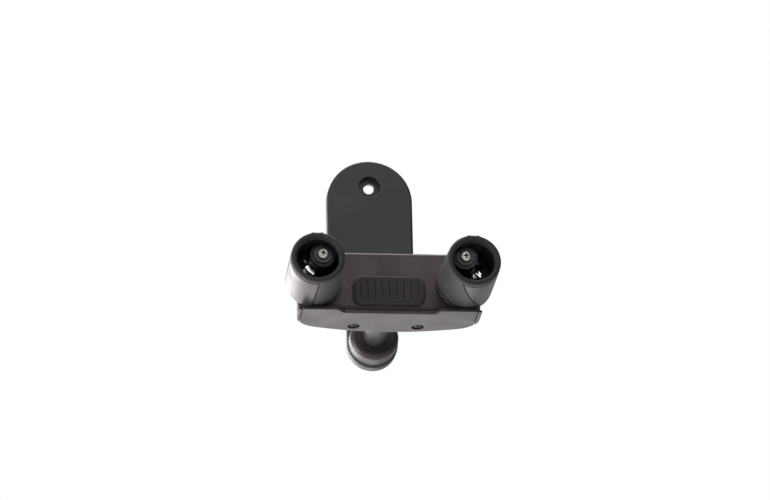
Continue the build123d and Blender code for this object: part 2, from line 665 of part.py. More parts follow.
def floor_slot():
    """The curved slot in the left cup's floor, centred on the pivot."""
    spare = math.degrees(STOP_SPARE / STOP_ORBIT)
    start = STOP_ANGLE - GATE_TURN - spare
    size = GATE_TURN + 2 * spare
    slot = SlotArc(CenterArc((0, 0), STOP_ORBIT, start, size), 2 * (STOP_R + STOP_SPARE))
    return along_y(Pos(-PIVOT_X, PIVOT_Z) * slot, FLOOR_FRONT - 1, FLOOR_BACK + 1)


def gate_pinion():
    """The left gate's pinion, with one tooth pointing at the rack."""
    base_r = PITCH_R * math.cos(math.radians(PRESSURE_ANGLE))
    tip_r = PITCH_R + ADDENDUM
    root_r = PITCH_R - DEDENDUM
    pressure = math.radians(PRESSURE_ANGLE)
    involute = math.tan(pressure) - pressure
    half = math.pi / (2 * GEAR_TEETH) - BACKLASH / 2 / PITCH_R
    steps = 4
    flank = []
    for step in range(steps + 1):
        radius = base_r + (tip_r - base_r) * step / steps
        angle = math.acos(base_r / radius)
        flank.append((radius, half + involute - (math.tan(angle) - angle)))
    flank.insert(0, (root_r, flank[0][1]))
    points = []
    for tooth in range(GEAR_TEETH):
        middle = 2 * math.pi * tooth / GEAR_TEETH
        for radius, offset in flank:
            points.append((radius * math.cos(middle - offset), radius * math.sin(middle - offset)))
        for radius, offset in reversed(flank):
            points.append((radius * math.cos(middle + offset), radius * math.sin(middle + offset)))
    pinion = along_y(Pos(-PIVOT_X, PIVOT_Z) * Polygon(*points, align=None), GEAR_FRONT, GEAR_BACK)
    return pinion - rod(-PIVOT_X, PIVOT_Z, SPIGOT_R, GEAR_FRONT - 1, GEAR_BACK + 1)


# ---- writing the nodes -----------------------------------------------------------------------------------
def write(name, shapes):
    solids = []
    for shape in shapes if isinstance(shapes, list) else [shapes]:
        solids.extend(shape.solids())
    node = solids[0] if len(solids) == 1 else Compound(children=solids)
    export_step(node, f"parts/{name}.step")
    print(name, len(solids))


def write_yoke(name, shapes):
    shapes = shapes if isinstance(shapes, list) else [shapes]
    write(name, [YOKE * shape for shape in shapes])


def main():
    os.makedirs("parts", exist_ok=True)

    write("wall_plate", wall_plate())
    write("arm_flange", arm_flange())
    write("flange_screws", flange_screws())
    write_yoke("arm_stem", arm_stem())
    write_yoke("stem_ring", stem_ring())
    write_yoke("stem_washer", stem_washer())
    write_yoke("swivel_stop_pin", swivel_stop_pin())

    write_yoke("lift_frame", lift_frame())
    write_yoke("stem_bush", stem_bush())
    write_yoke("left_rack", left_rack())
    write_yoke("right_rack", to_right(left_rack()))

    write_yoke("yoke_body", yoke_body())
    write_yoke("yoke_face", yoke_face())
    write_yoke("yoke_cover", yoke_cover())
    write_yoke("neck_pad", neck_pad())
    write_yoke("housing_screws", housing_screws())
    write_yoke("guide_pins", guide_pins())
    write_yoke("left_spring", left_spring())
    write_yoke("right_spring", to_right(left_spring()))
    write_yoke("left_core_post", left_core_post())
    write_yoke("right_core_post", to_right(left_core_post()))
    write_yoke("pivot_washers", pivot_washers())
    write_yoke("pivot_screws", pivot_screws())
    write_yoke("stop_pins", stop_pins())

    write_yoke("left_gate_shell", gate_shell(LEFT_SEAM))
    write_yoke("right_gate_shell", to_right(gate_shell(RIGHT_SEAM)))
    write_yoke("left_gate_pad", gate_pad(LEFT_SEAM))
    write_yoke("right_gate_pad", to_right(gate_pad(RIGHT_SEAM)))
    for name, piece in (("rim", gate_rim()), ("hub", gate_hub()), ("pinion", gate_pinion())):
        write_yoke(f"left_gate_{name}", piece)
        write_yoke(f"right_gate_{name}", to_right(piece))


main()
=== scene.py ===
"""Wall guitar hanger: the looks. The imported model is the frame, and every piece rides on one of its bodies.

Row frame, in metres: the wall is the plane Y = 0, the hanger stands out towards -Y, and +Z is up.
Shapes are drawn in millimetres in the yoke frame: its origin is where the arm's axis crosses the yoke's
front face, +Y runs back along the arm, and it leans back by TILT.
"""

import json
import math

import bmesh
import bpy
from mathutils import Matrix, Vector


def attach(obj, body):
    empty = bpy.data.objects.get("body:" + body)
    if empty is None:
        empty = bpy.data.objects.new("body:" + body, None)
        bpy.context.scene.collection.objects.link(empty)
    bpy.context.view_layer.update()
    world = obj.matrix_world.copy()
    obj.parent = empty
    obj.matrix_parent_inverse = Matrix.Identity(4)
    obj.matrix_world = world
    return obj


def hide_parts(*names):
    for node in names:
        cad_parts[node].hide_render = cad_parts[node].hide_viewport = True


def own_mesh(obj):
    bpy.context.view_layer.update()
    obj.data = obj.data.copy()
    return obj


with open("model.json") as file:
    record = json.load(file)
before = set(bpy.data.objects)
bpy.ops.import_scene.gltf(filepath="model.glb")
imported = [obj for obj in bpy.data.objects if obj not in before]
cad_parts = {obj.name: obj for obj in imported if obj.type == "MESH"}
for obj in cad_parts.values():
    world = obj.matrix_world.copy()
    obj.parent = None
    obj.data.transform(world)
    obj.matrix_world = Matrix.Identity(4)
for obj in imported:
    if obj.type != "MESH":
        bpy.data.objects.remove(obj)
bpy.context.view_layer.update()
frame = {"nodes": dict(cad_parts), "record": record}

# ---- driving dimensions, in millimetres and degrees ------------------------------------------------------
MM = 0.001
TILT = 5.0
ARM_REACH = 74.0

POST_Z = 3.5               # height of the posts' axes
POST_X_BACK = 37.6
POST_X_FRONT = 38.5
POST_BACK = -1.0
POST_FRONT = -32.0
POST_R_BACK = 14.0
POST_R_FRONT = 13.3
MOUTH_R = 10.5
LINER_R = 11.5
LEAF_INNER_R = LINER_R + 0.02      # the leaves just clear the hub's liner
RIM_LENGTH = 3.3
BACK_RING = 1.7            # depth of the ring that joins the shell at its back end
LEAF_GAP = 0.35
LEFT_SEAM = (2.0, -5.0, 165.0)     # lower line at the mouth, lower line at the back, upper line
RIGHT_SEAM = (28.0, -34.0, 165.0)
SEAM_BEND = 1.2            # over 1: the lower line turns outward further back
RING_BITE = 1.3            # how far the rim's ends reach into the joint lines, in half gaps
RIB_PLACES = (170.0, 190.0)        # two small ribs on top of the rim, by their angle
RIB_HALF_DEG = 4.0
RIB_HEIGHT = 0.33

PIVOT_X = 35.2
PIVOT_Z = 8.0
BOSS_FRONT = -24.0
SCREW_R = 2.85
SCREW_HEIGHT = 2.0
SCREW_SEAT = BOSS_FRONT - 0.9      # the head's flat underside
SCREW_TURN = 12.0          # how far the cross stands off the vertical
CROSS_DEPTH = 0.62         # depth of the cross recess, as a share of the head's height
STOP_HEAD_BACK = -13.0

SPRING_X = 12.5
SPRING_Y = 7.5
SPRING_R = 2.6
SPRING_WIRE = 0.45
SPRING_TURNS = 7
SPRING_LOW = -2.1
SPRING_HIGH = 9.9

NECK_PAD_SIZE = (36.0, 15.0, 3.0)
NECK_PAD_CORNER = 5.0
NECK_PAD_Z = -0.9
NECK_PAD_EDGE = 1.4

LIP_SIZE = (87.0, 1.0, 1.8)        # the lip inside the joint over the cover
LIP_MIDDLE = (0.0, 2.8, -11.2)

# ---- the camera and the light ----------------------------------------------------------------------------
CAMERA_AZIMUTH = -7.53     # it stands a little to the left of the hanger and well below it
CAMERA_ELEVATION = -17.89
CAMERA_ROLL = -1.28
CAMERA_DISTANCE = 2300.0
CAMERA_LENS = 218.3
VIEW_POINT = (0.0, -80.5, 4.5)     # the point that the distance is measured from
AIM_ACROSS = -2.4          # the camera looks past that point by this much
AIM_UP = 19.6
FLOOR_Z = -0.9             # in metres
FLOOR_HALF = 12.0
LIGHT_LEAN = (-0.85, 0.45, 0.25)   # the studio's soft light comes mostly from the left and from behind
DARK_SIDE = 0.10
BRIGHT_SIDE = 1.0
SOFTBOXES = {              # where each stands and its side, in metres, and its power in watts
    "back_box": ((-0.4, 1.4, -0.62), 1.5, 12.5),       # shines on the undersides
    "left_box": ((-0.75, 1.45, 0.1), 0.9, 10),         # shines on the left sides
    "side_box": ((-1.5, -0.1, -0.6), 1.0, 26),
    "top_box": ((0.3, 0.2, 2.6), 1.6, 30),
    "front_box": ((0.2, -1.5, 0.8), 0.8, 4.0),         # seen in the bright metal of the mouths
}

# ---- tones, linear ---------------------------------------------------------------------------------------
WARM = (1.0, 0.82, 0.84, 1.0)      # the tint of the shine on plastic and rubber
BLACK = (0.021, 0.0185, 0.019)
WORN_BLACK = (0.060, 0.057, 0.060)
# painted shade: laid in the pivot screws' cross recesses and on the stops' shanks
PAINTED_SHADE_TONE = (0.012, 0.011, 0.010)

# ---- values worked out from them -------------------------------------------------------------------------
POST_LENGTH = POST_BACK - POST_FRONT
SPLAY = math.degrees(math.atan2(POST_X_FRONT - POST_X_BACK, POST_LENGTH))
SEAM_HALF_DEG = math.degrees(LEAF_GAP / 2 / POST_R_FRONT)
YOKE = (
    Matrix.Scale(MM, 4)
    @ Matrix.Rotation(math.radians(-TILT), 4, "X")
    @ Matrix.Translation((0, -ARM_REACH, 0))
)
LEFT_POST = (
    Matrix.Translation((-POST_X_BACK, POST_BACK, POST_Z))
    @ Matrix.Rotation(math.radians(-SPLAY), 4, "Z")
)
MIRROR = Matrix.Scale(-1, 4, (1, 0, 0))
SIDES = (("left", Matrix.Identity(4), LEFT_SEAM), ("right", MIRROR, RIGHT_SEAM))


# ---- meshes ----------------------------------------------------------------------------------------------
def add_mesh(name, points, faces, placing):
    """A smooth-shaded object from points in millimetres; its origin is the row frame's."""
    mesh = bpy.data.meshes.new(name)
    mesh.from_pydata([placing @ Vector(p) for p in points], [], faces)
    if placing.determinant() < 0:
        mesh.flip_normals()
    mesh.shade_smooth()
    mesh.validate()
    piece = bpy.data.objects.new(name, mesh)
    bpy.context.scene.collection.objects.link(piece)
    return piece


def finish_piece(piece, body, material, nodes):
    """Gives the piece its material and the body it rides on, and hides the CAD nodes it stands in for."""
    piece.data.materials.append(material)
    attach(piece, body)
    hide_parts(*nodes)


def arc(centre, radius, start, stop, steps):
    """Points on an arc in the (r, y) plane; angles in degrees from +r towards +y."""
    points = []
    for step in range(steps + 1):
        angle = math.radians(start + (stop - start) * step / steps)
        points.append((centre[0] + radius * math.cos(angle), centre[1] + radius * math.sin(angle)))
    return points


def inward_normals(loop):
    """For each point of a closed (r, y) loop, the unit direction that points into it."""
    count = len(loop)
    area = 0.0
    for i in range(count):
        r0, y0 = loop[i]
        r1, y1 = loop[(i + 1) % count]
        area += r0 * y1 - r1 * y0
    turn = 1 if area > 0 else -1
    normals = []
    for i in range(count):
        before = Vector(loop[i]) - Vector(loop[i - 1])
        after = Vector(loop[(i + 1) % count]) - Vector(loop[i])
        along = before.normalized() + after.normalized()
        normal = Vector((-along.y, along.x)) * turn
        normals.append(normal.normalized())
    return normals


def column_places(arc_length, edge_round, spacing):
    """Distances along an arc, close together near its two rounded ends."""
    near = [edge_round * (1 - math.cos(math.radians(15 * i))) for i in range(6)] + [edge_round]
    inner = arc_length - 2 * edge_round
    count = max(2, round(inner / spacing))
    middle = [edge_round + inner * i / count for i in range(1, count)]
    return near + middle + [arc_length - d for d in reversed(near)]


def post_radius(y):
    """Outer radius of a post, y from 0 at its back end to -POST_LENGTH at its mouth."""
    return POST_R_BACK + (POST_R_FRONT - POST_R_BACK) * (-y / POST_LENGTH) ** 1.4


def lower_line(seam, y):
    front, back, _ = seam
    share = min(1.0, max(0.0, 1 + y / POST_LENGTH))
    return front + (back - front) * share ** SEAM_BEND


def wall_piece(loop, first, last, edge_round, spacing=0.45, round_until=0.0, swell=None):
    """A wall that goes part of the way round a post. first(y) and last(y) are the angles of its two ends,
    in degrees from straight down towards the neck. Its ends are rounded where y is below round_until."""
    middle_y = sum(y for _, y in loop) / len(loop)
    length = math.radians(last(middle_y) - first(middle_y)) * POST_R_FRONT
    places = column_places(length, edge_round, spacing)
    normals = inward_normals(loop)
    points = []
    for place in places:
        share = place / length
        depth = max(0.0, edge_round - min(place, length - place))
        inset = edge_round - math.sqrt(edge_round ** 2 - depth ** 2)
        for (r, y), normal in zip(loop, normals):
            angle = first(y) + (last(y) - first(y)) * share
            here = inset if y < round_until else 0.0
            radius = r + normal.x * here
            if swell:
                radius += swell(angle, r)
            turn = math.radians(angle)
            points.append((radius * math.sin(turn), y + normal.y * here, -radius * math.cos(turn)))
    count = len(loop)
    faces = []
    for column in range(len(places) - 1):
        a, b = column * count, (column + 1) * count
        for i in range(count):
            j = (i + 1) % count
            faces.append((a + i, a + j, b + j, b + i))
    faces.append(tuple(range(count - 1, -1, -1)))
    end = (len(places) - 1) * count
    faces.append(tuple(range(end, end + count)))
    return points, faces


def join(parts):
    """Several (points, faces) pairs as one."""
    points, faces = [], []
    for more_points, more_faces in parts:
        start = len(points)
        points.extend(more_points)
        faces.extend(tuple(i + start for i in face) for face in more_faces)
    return points, faces


def outward(points, faces):
    """Flips the faces of one closed piece if its volume comes out negative."""
    volume = 0.0
    for face in faces:
        a = Vector(points[face[0]])
        for i in range(1, len(face) - 1):
            volume += a.dot(Vector(points[face[i]]).cross(Vector(points[face[i + 1]])))
    if volume < 0:
        faces = [tuple(reversed(face)) for face in faces]
    return points, faces


# ---- gates: the rubber, the shells -----------------------------------------------------------------------
def outer_line(y_from, y_to, step=0.7):
    count = max(2, round(abs(y_to - y_from) / step))
    places = [y_from + (y_to - y_from) * i / count for i in range(count + 1)]
    return [(post_radius(y), y) for y in places]


def rim_front():
    """The rounded mouth of a post: outer lip, front face, inner lip and the start of the bore."""
    outer_lip, inner_lip = 1.5, 1.25
    front = -POST_LENGTH
    line = arc((POST_R_FRONT - outer_lip, front + outer_lip), outer_lip, 0, -90, 9)
    line += arc((MOUTH_R + inner_lip, front + inner_lip), inner_lip, -90, -180, 8)
    return line


def pad_loop():
    """Section of a pad: a leaf of the post's wall that ends in the rounded rim."""
    back = -BACK_RING - LEAF_GAP
    corner = 2.0
    rim_back = -POST_LENGTH + RIM_LENGTH
    inner = LEAF_INNER_R
    loop = [(inner, rim_back), (inner, (rim_back + back) / 2), (inner, back)]
    loop += arc((post_radius(back) - corner, back - corner), corner, 90, 0, 9)
    loop += outer_line(back - corner - 0.3, -POST_LENGTH + 1.9)
    loop += rim_front()
    loop += [(MOUTH_R, rim_back - 0.9), (MOUTH_R, rim_back)]
    return loop


def ring_loop():
    """Section of the rim where no pad follows it."""
    corner = 0.6
    rim_back = -POST_LENGTH + RIM_LENGTH
    loop = [(MOUTH_R, rim_back), (LINER_R, rim_back)]
    loop += arc((POST_R_FRONT - corner, rim_back - corner), corner, 90, 0, 5)
    loop += rim_front()
    return loop


def shell_loop():
    """Section of a shell: a leaf of the post's wall from behind the rim to the post's back end."""
    front = -POST_LENGTH + RIM_LENGTH + 0.1
    middle = -14.0
    inner = LEAF_INNER_R
    corner, back_corner = 0.3, 0.6
    loop = [(inner, front), (inner, middle), (inner, 0.0)]
    loop += arc((post_radius(0) - back_corner, -back_corner), back_corner, 90, 0, 5)
    loop += outer_line(-back_corner - 0.4, front + corner + 0.3)
    loop += arc((post_radius(front) - corner, front + corner), corner, 0, -90, 4)
    return loop


def back_ring_loop():
    """Section of the narrow ring that a shell carries on round the post's back end."""
    inner = LEAF_INNER_R
    corner, back_corner = 0.25, 0.6
    front = -BACK_RING
    loop = [(inner, front), (inner, 0.0)]
    loop += arc((post_radius(0) - back_corner, -back_corner), back_corner, 90, 0, 5)
    loop += arc((post_radius(front) - corner, front + corner), corner, 0, -90, 3)
    return loop


def ribs(angle, r):
    """Height of the two small ribs on top of the rim, which only its outer part has."""
    if r < POST_R_FRONT - 1.0:
        return 0.0
    height = 0.0
    for middle in RIB_PLACES:
        off = abs(angle - middle) / RIB_HALF_DEG
        if off < 1:
            height = RIB_HEIGHT * math.cos(off * math.pi / 2) ** 0.8
    return height


def gate_rubber(side, flip, seam, material):
    """The pad with its stretch of the rim, and the rest of the rim, which meets it at two fine lines."""
    upper = seam[2]
    pad = wall_piece(
        pad_loop(),
        lambda y: lower_line(seam, y) + SEAM_HALF_DEG,
        lambda y: upper - SEAM_HALF_DEG,
        0.45,
    )
    bite = SEAM_HALF_DEG * RING_BITE
    ring = wall_piece(
        ring_loop(),
        lambda y: upper - bite,
        lambda y: 360 + lower_line(seam, y) + bite,
        0.3, spacing=0.3, swell=ribs,
    )
    points, faces = join([outward(*pad), outward(*ring)])
    piece = add_mesh(f"{side}_gate_rubber", points, faces, YOKE @ flip @ LEFT_POST)
    nodes = [f"{side}_gate_pad", f"{side}_gate_rim"]
    finish_piece(piece, f"gate_{side}", material, nodes)


def gate_shell(side, flip, seam, material):
    """The outer shell and the ring at its back end."""
    upper = seam[2]
    leaf = wall_piece(
        shell_loop(),
        lambda y: upper + SEAM_HALF_DEG,
        lambda y: 360 + lower_line(seam, y) - SEAM_HALF_DEG,
        0.28, round_until=-BACK_RING,
    )
    ring = wall_piece(
        back_ring_loop(),
        lambda y: lower_line(seam, y) - SEAM_HALF_DEG - 0.3,
        lambda y: upper + SEAM_HALF_DEG + 0.3,
        0.1, round_until=-100.0,
    )
    points, faces = join([outward(*leaf), outward(*ring)])
    piece = add_mesh(f"{side}_gate_outer_shell", points, faces, YOKE @ flip @ LEFT_POST)
    finish_piece(piece, f"gate_{side}", material, [f"{side}_gate_shell"])


# ---- screws in the mouths --------------------------------------------------------------------------------
def smooth_step(low, high, value):
    share = min(1.0, max(0.0, (value - low) / (high - low)))
    return share * share * (3 - 2 * share)


def cross_depth(x, z):
    """Depth of a cross recess with soft, sloping sides, as a share of its deepest point."""
    depth = 0.0
    for along, across in ((x, z), (z, x)):
        arm = 1 - smooth_step(0.38, 0.58, abs(along) / SCREW_R)
        wide = 1 - smooth_step(0.10, 0.16, abs(across) / SCREW_R)
        depth = max(depth, arm * wide)
    centre = 1 - smooth_step(0.12, 0.26, math.hypot(x, z) / SCREW_R)
    return max(depth * 0.8, centre)


def screw_head():
    """A pan head on its own axis: domed top with its cross recess, rounded edge, flat underside."""
    turns, rings = 144, 36
    edge = SCREW_HEIGHT * 0.45
    recess = SCREW_HEIGHT * CROSS_DEPTH
    points = [(0.0, -SCREW_HEIGHT + recess, 0.0)]
    for ring in range(1, rings + 1):
        r = SCREW_R * 0.96 * ring / rings
        dome = edge + (SCREW_HEIGHT - edge) * math.sqrt(max(0.0, 1 - (r / SCREW_R) ** 2.6))
        for turn in range(turns):
            angle = 2 * math.pi * turn / turns
            x, z = r * math.cos(angle), r * math.sin(angle)
            points.append((x, -dome + recess * cross_depth(x, z), z))
    for r, y in ((0.985, -edge * 0.9), (1.0, -edge * 0.5), (1.0, -0.12), (0.97, 0.0)):
        for turn in range(turns):
            angle = 2 * math.pi * turn / turns
            points.append((SCREW_R * r * math.cos(angle), y, SCREW_R * r * math.sin(angle)))
    faces = [(0, 1 + (turn + 1) % turns, 1 + turn) for turn in range(turns)]
    total = (len(points) - 1) // turns
    for ring in range(total - 1):
        a, b = 1 + ring * turns, 1 + (ring + 1) * turns
        for turn in range(turns):
            after = (turn + 1) % turns
            faces.append((a + turn, a + after, b + after, b + turn))
    last = 1 + (total - 1) * turns
    faces.append(tuple(last + turn for turn in range(turns)))
    return outward(points, faces)


def pivot_screws(material):
    """The two heads, one in each mouth, as one piece."""
    points, faces = screw_head()
    parts = []
    for side, flip, _ in SIDES:
        turn = Matrix.Rotation(math.radians(SCREW_TURN), 4, "Y")
        place = flip @ Matrix.Translation((-PIVOT_X, SCREW_SEAT, PIVOT_Z)) @ turn
        moved = [tuple(place @ Vector(p)) for p in points]
        parts.append(outward(moved, faces))
    points, faces = join(parts)
    piece = add_mesh("pivot_screw_heads", points, faces, YOKE)
    finish_piece(piece, "carriage", material, ["pivot_screws"])


# ---- neck pad, cover and springs -------------------------------------------------------------------------
def close_at_ends(half, spacing):
    """Places from -half to half, close together near both ends."""
    near = [half - d for d in (0.0, 0.06, 0.18, 0.36, 0.6, 0.9, 1.25)]
    count = round(2 * near[-1] / spacing)
    middle = [-near[-1] + 2 * near[-1] * i / count for i in range(1, count)]
    return [-p for p in near] + middle + list(reversed(near))


def pad_height(x, z):
    """Height of the neck pad: rounded edge, slight crown, fine upright grooves."""
    width, height, thick = NECK_PAD_SIZE
    dx = abs(x) - (width / 2 - NECK_PAD_CORNER)
    dz = abs(z) - (height / 2 - NECK_PAD_CORNER)
    outside = math.hypot(max(dx, 0.0), max(dz, 0.0)) + min(max(dx, dz), 0.0)
    inside = max(0.0, NECK_PAD_CORNER - outside)
    lack = max(0.0, NECK_PAD_EDGE - inside)
    edge = NECK_PAD_EDGE - math.sqrt(NECK_PAD_EDGE ** 2 - lack ** 2)
    crown = 0.22 * (2 * z / height) ** 2
    wave = abs(math.sin(math.pi * x / 3.6))
    groove = 0.3 * (1 - smooth_step(0.0, 0.4, wave)) * smooth_step(1.2, 3.0, inside)
    return thick - edge - crown * smooth_step(0.0, 1.4, inside) - groove


def neck_pad(material):
    """A low crowned rubber pad with fine upright grooves."""
    width, height, _ = NECK_PAD_SIZE
    across = close_at_ends(width / 2, 0.18)
    rows = close_at_ends(height / 2, 0.5)
    straight = height / 2 - NECK_PAD_CORNER
    points = []
    for z in rows:
        over = max(0.0, abs(z) - straight)
        half = width / 2 - NECK_PAD_CORNER + math.sqrt(max(0.0, NECK_PAD_CORNER ** 2 - over ** 2))
        for x in across:
            place = x * 2 * half / width
            points.append((place, -pad_height(place, z), NECK_PAD_Z + z))
    count = len(across)
    last = len(rows) - 1
    faces = []
    for row in range(last):
        for i in range(count - 1):
            a = row * count + i
            faces.append((a, a + 1, a + 1 + count, a + count))
    border = list(range(count)) + [row * count + count - 1 for row in range(1, last)]
    border += [last * count + i for i in range(count - 1, -1, -1)]
    border += [row * count for row in range(last - 1, 0, -1)]
    foot = len(points)
    points.extend((points[i][0], 0.0, points[i][2]) for i in border)
    for i, corner in enumerate(border):
        j = (i + 1) % len(border)
        faces.append((corner, foot + i, foot + j, border[j]))
    faces.append(tuple(range(foot, foot + len(border))))
    points, faces = outward(points, faces)
    piece = add_mesh("neck_rest", points, faces, YOKE)
    finish_piece(piece, "carriage", material, ["neck_pad"])


def cover_with_lip(material):
    """The cover plate, with a thin lip inside the joint that keeps light out of the housing."""
    mesh = frame["nodes"]["yoke_cover"].data.copy()
    mesh.name = "cover_plate"
    mesh.materials.clear()
    build = bmesh.new()
    build.from_mesh(mesh)
    size = Matrix.Diagonal((*LIP_SIZE, 1.0))
    bmesh.ops.create_cube(build, size=1.0, matrix=YOKE @ Matrix.Translation(LIP_MIDDLE) @ size)
    build.to_mesh(mesh)
    build.free()
    piece = bpy.data.objects.new("cover_plate", mesh)
    bpy.context.scene.collection.objects.link(piece)
    finish_piece(piece, "carriage", material, ["yoke_cover"])


def return_spring(side, flip, material):
    """Round wire wound into a spring with closed ends."""
    steps, sides = 40 * SPRING_TURNS, 14
    height = SPRING_HIGH - SPRING_LOW
    points = []
    for step in range(steps + 1):
        share = step / steps
        closed = smooth_step(0.0, 1.0, share) * 0.35 + share * 0.65
        turn = 2 * math.pi * SPRING_TURNS * share
        out = Vector((math.cos(turn), math.sin(turn), 0))
        centre = SPRING_R * out + Vector((0, 0, SPRING_LOW + height * closed))
        for k in range(sides):
            angle = 2 * math.pi * k / sides
            p = centre + SPRING_WIRE * (out * math.cos(angle) + Vector((0, 0, 1)) * math.sin(angle))
            points.append((p.x - SPRING_X, p.y + SPRING_Y, p.z))
    faces = []
    for step in range(steps):
        a, b = step * sides, (step + 1) * sides
        for k in range(sides):
            n = (k + 1) % sides
            faces.append((a + k, a + n, b + n, b + k))
    faces.append(tuple(range(sides)))
    end = steps * sides
    faces.append(tuple(range(end + sides - 1, end - 1, -1)))
    points, faces = outward(points, faces)
    piece = add_mesh(f"{side}_return_spring", points, faces, YOKE @ flip)
    finish_piece(piece, "carriage", material, [f"{side}_spring"])
    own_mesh(piece)


# ---- materials -------------------------------------------------------------------------------------------
def map_range(nodes, low, high, out_low, out_high):
    """A node that takes low to out_low and high to out_high, with soft ends."""
    node = nodes.new("ShaderNodeMapRange")
    node.interpolation_type = "SMOOTHSTEP"
    values = {"From Min": low, "From Max": high, "To Min": out_low, "To Max": out_high}
    for socket, value in values.items():
        node.inputs[socket].default_value = value
    return node


class Surface:
    """A material with one Principled shader, and short ways to add the nodes that drive it."""

    def __init__(self, name, **sockets):
        self.material = bpy.data.materials.new(name)
        self.material.use_nodes = True
        self.nodes = self.material.node_tree.nodes
        self.links = self.material.node_tree.links
        self.nodes.clear()
        self.out = self.nodes.new("ShaderNodeOutputMaterial")
        self.shader = self.nodes.new("ShaderNodeBsdfPrincipled")
        self.links.new(self.shader.outputs[0], self.out.inputs["Surface"])
        self.place = self.nodes.new("ShaderNodeTexCoord").outputs["Object"]
        for socket, value in sockets.items():
            self.shader.inputs[socket.replace("_", " ")].default_value = value

    def link(self, source, target):
        self.links.new(source, target)

    def to(self, socket, source):
        self.link(source, self.shader.inputs[socket])

    def sheen(self, weight, rough):
        self.shader.inputs["Sheen Weight"].default_value = weight
        self.shader.inputs["Sheen Roughness"].default_value = rough

    def roughness(self, broad, fine):
        self.to("Roughness", self.sums("ADD", broad, fine))

    def yoke_place(self):
        """The shaded point as x, y and z of the tilted yoke."""
        turned = self.nodes.new("ShaderNodeMapping")
        turned.inputs["Rotation"].default_value = (math.radians(TILT), 0, 0)
        turned.inputs["Location"].default_value = (0, ARM_REACH * MM, 0)
        self.link(self.place, turned.inputs["Vector"])
        node = self.nodes.new("ShaderNodeSeparateXYZ")
        self.link(turned.outputs[0], node.inputs[0])
        return node.outputs[0], node.outputs[1], node.outputs[2]

    def stretched(self, x, y, z):
        node = self.nodes.new("ShaderNodeMapping")
        node.inputs["Scale"].default_value = (x, y, z)
        self.link(self.place, node.inputs["Vector"])
        return node.outputs[0]

    def noise(self, scale, detail=3.0, rough=0.5, where=None):
        """Noise with about scale features to the metre."""
        node = self.nodes.new("ShaderNodeTexNoise")
        node.inputs["Scale"].default_value = scale
        node.inputs["Detail"].default_value = detail
        node.inputs["Roughness"].default_value = rough
        self.link(where or self.place, node.inputs["Vector"])
        return node.outputs["Fac"]

    def cells(self, scale):
        node = self.nodes.new("ShaderNodeTexVoronoi")
        node.inputs["Scale"].default_value = scale
        self.link(self.place, node.inputs["Vector"])
        return node.outputs["Distance"]

    def rings(self, scale, distortion=0.6):
        """Fine bands across the Y axis."""
        node = self.nodes.new("ShaderNodeTexWave")
        node.bands_direction = "Y"
        node.inputs["Scale"].default_value = scale
        node.inputs["Distortion"].default_value = distortion
        node.inputs["Detail"].default_value = 3.0
        self.link(self.place, node.inputs["Vector"])
        return node.outputs["Fac"]

    def range(self, source, low, high, out_low, out_high):
        node = map_range(self.nodes, low, high, out_low, out_high)
        self.link(source, node.inputs["Value"])
        return node.outputs[0]

    def colours(self, factor, first, second):
        node = self.nodes.new("ShaderNodeMix")
        node.data_type = "RGBA"
        for socket, value in ((6, first), (7, second)):
            if isinstance(value, tuple):
                node.inputs[socket].default_value = (*value, 1.0)
            else:
                self.link(value, node.inputs[socket])
        self.link(factor, node.inputs[0])
        return node.outputs[2]

    def sums(self, operation, first, second):
        node = self.nodes.new("ShaderNodeMath")
        node.operation = operation
        for socket, value in enumerate((first, second)):
            if isinstance(value, (int, float)):
                node.inputs[socket].default_value = value
            else:
                self.link(value, node.inputs[socket])
        return node.outputs[0]

    def edges(self, radius):
        """1 at the sharp edges and 0 on the flats, fading over radius."""
        bevel = self.nodes.new("ShaderNodeBevel")
        bevel.samples = 6
        bevel.inputs["Radius"].default_value = radius
        plain = self.nodes.new("ShaderNodeNewGeometry")
        dot = self.nodes.new("ShaderNodeVectorMath")
        dot.operation = "DOT_PRODUCT"
        self.link(bevel.outputs[0], dot.inputs[0])
        self.link(plain.outputs["Normal"], dot.inputs[1])
        return self.range(dot.outputs["Value"], 0.995, 0.85, 0.0, 1.0), bevel.outputs[0]

    def bumps(self, *heights, base=None):
        """Stacks (height, distance in metres, strength) bumps and drives the shader's normal."""
        normal = base
        for height, distance, strength in heights:
            node = self.nodes.new("ShaderNodeBump")
            node.inputs["Distance"].default_value = distance
            node.inputs["Strength"].default_value = strength
            self.link(height, node.inputs["Height"])
            if normal is not None:
                self.link(normal, node.inputs["Normal"])
            normal = node.outputs[0]
        self.to("Normal", normal)


def hard_plastic(name, tone, worn_tone):
    """Injection-moulded black plastic: a fine spark-eroded grain, faint flow marks and rubbed edges."""
    s = Surface(name, Specular_IOR_Level=0.62, Specular_Tint=WARM)
    s.sheen(0.12, 0.45)
    cloud = s.noise(90, 4, 0.6)
    grain = s.noise(5200, 2, 0.6)
    edge, rounded = s.edges(0.0005)
    rubbed = s.sums("MULTIPLY", edge, s.range(s.noise(420, 4, 0.7), 0.42, 0.62, 0.15, 1.0))
    body = s.colours(s.range(cloud, 0.3, 0.7, 0, 1), tone, tuple(c * 1.35 for c in tone))
    s.to("Base Color", s.colours(rubbed, body, worn_tone))
    s.roughness(s.range(cloud, 0.3, 0.7, 0.36, 0.47), s.range(grain, 0.3, 0.7, -0.03, 0.05))
    s.bumps((grain, 0.00003, 0.5), (cloud, 0.0004, 0.08), base=rounded)
    return s.material


